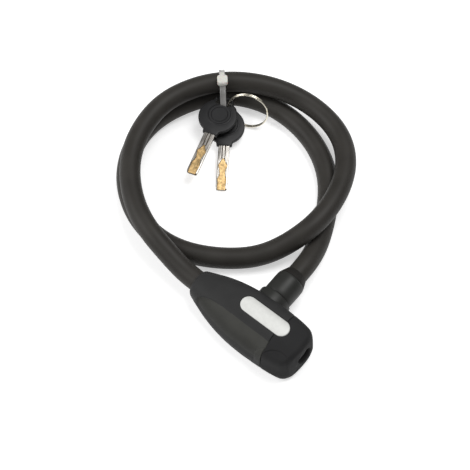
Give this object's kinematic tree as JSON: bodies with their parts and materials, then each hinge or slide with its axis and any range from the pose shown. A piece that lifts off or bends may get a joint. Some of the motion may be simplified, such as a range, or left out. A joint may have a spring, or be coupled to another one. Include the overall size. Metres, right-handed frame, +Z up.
{
  "type": "keyed coiled cable lock",
  "caption": "Keyed cable lock: a thick sheathed cable coiled and tied, from a moulded lock head to a plug seated in its side, with flat keys and a split ring hung on the tie.",
  "frame": {"origin": "centre of the lock head's bounding box at the bottom of its base, which is also the surface the coil lies on", "axes": "+X along the lock head towards its key face, +Y the way the plug pulls out, +Z up"},
  "size_m": [0.2107, 0.188, 0.0383],
  "materials": {
    "shell_plastic": "moulded black, fine satin grain",
    "collar_plastic": "moulded black, smooth satin",
    "label_white": "silvery white, satin, blank",
    "die_cast": "as cast, matt grey",
    "cable_sheath": "black extruded sheath, satin",
    "tie_nylon": "natural translucent white nylon",
    "key_plastic": "moulded black, satin",
    "key_steel": "nickel plated, with a milled wavy track",
    "ring_steel": "nickel plated wire",
    "lock_brass": "machined",
    "lock_steel": "zinc plated",
    "spring_steel": "drawn wire and strip",
    "rope_steel": "stranded galvanised wire rope",
    "screw_steel": "zinc plated"
  },
  "bodies": {
    "head": {"upper_shell": "shell_plastic", "base_cover": "shell_plastic", "nose_cap": "shell_plastic", "socket_collar": "collar_plastic", "label_plate": "label_white", "lock_body": "die_cast", "cable": "cable_sheath", "zip_tie": "tie_nylon", "cylinder_housing": "lock_brass", "latch_cover_plate": "lock_steel", "latch_spring": "spring_steel", "anchor_rope_end": "rope_steel", "anchor_ferrule": "lock_steel", "anchor_screw_1": "screw_steel", "anchor_screw_2": "screw_steel", "casing_screw_1": "screw_steel", "casing_screw_2": "screw_steel", "casing_screw_3": "screw_steel", "casing_screw_4": "screw_steel", "driver_spring_1": "spring_steel", "driver_spring_2": "spring_steel", "driver_spring_3": "spring_steel", "driver_spring_4": "spring_steel", "driver_pin_1": "lock_brass", "driver_pin_2": "lock_brass", "driver_pin_3": "lock_brass", "driver_pin_4": "lock_brass"},
    "cylinder": {"key_rotor": "lock_brass", "rotor_clip": "spring_steel", "drive_cam": "lock_steel", "key_pin_1": "lock_brass", "key_pin_2": "lock_brass", "key_pin_3": "lock_brass", "key_pin_4": "lock_brass"},
    "latch": {"latch_bolt": "lock_steel"},
    "plug": {"plug_pin": "lock_steel", "plug_sleeve": "collar_plastic", "plug_end_ring": "collar_plastic", "plug_rope_end": "rope_steel"},
    "key_1": {"key_1_head": "key_plastic", "key_1_blade": "key_steel"},
    "key_2": {"key_2_head": "key_plastic", "key_2_blade": "key_steel"},
    "ring": {"split_ring": "ring_steel"}
  },
  "joints": [
    {"name": "key_turn", "type": "hinge", "parent": "head", "child": "cylinder", "pos_m": [0, 0.0012, 0.015], "axis": [1, 0, 0], "range_deg": [0, 90]},
    {"name": "latch_throw", "type": "slide", "parent": "head", "child": "latch", "axis": [0, 0, 1], "range_m": [0, 0.00227], "deforming": ["latch_spring"]},
    {"name": "plug_pull", "type": "slide", "parent": "head", "child": "plug", "axis": [0, 1, 0], "range_m": [0, 0.0225], "deforming": ["cable"]},
    {"name": "key_1_swing", "type": "hinge", "parent": "head", "child": "key_1", "pos_m": [-0.1241, 0.1214, 0.0172], "axis": [0, 0, 1], "range_deg": [-8, 12]},
    {"name": "key_2_swing", "type": "hinge", "parent": "head", "child": "key_2", "pos_m": [-0.1233, 0.1194, 0.0111], "axis": [0, 0, 1], "range_deg": [-6, 10]},
    {"name": "ring_swing", "type": "hinge", "parent": "head", "child": "ring", "pos_m": [-0.1208, 0.1229, 0.0159], "axis": [0, 0, 1], "range_deg": [-8, 7]}
  ],
  "couplings": [
    {"joint": "key_turn", "follows": "latch_throw", "rad_per_m": 691.9}
  ]
}
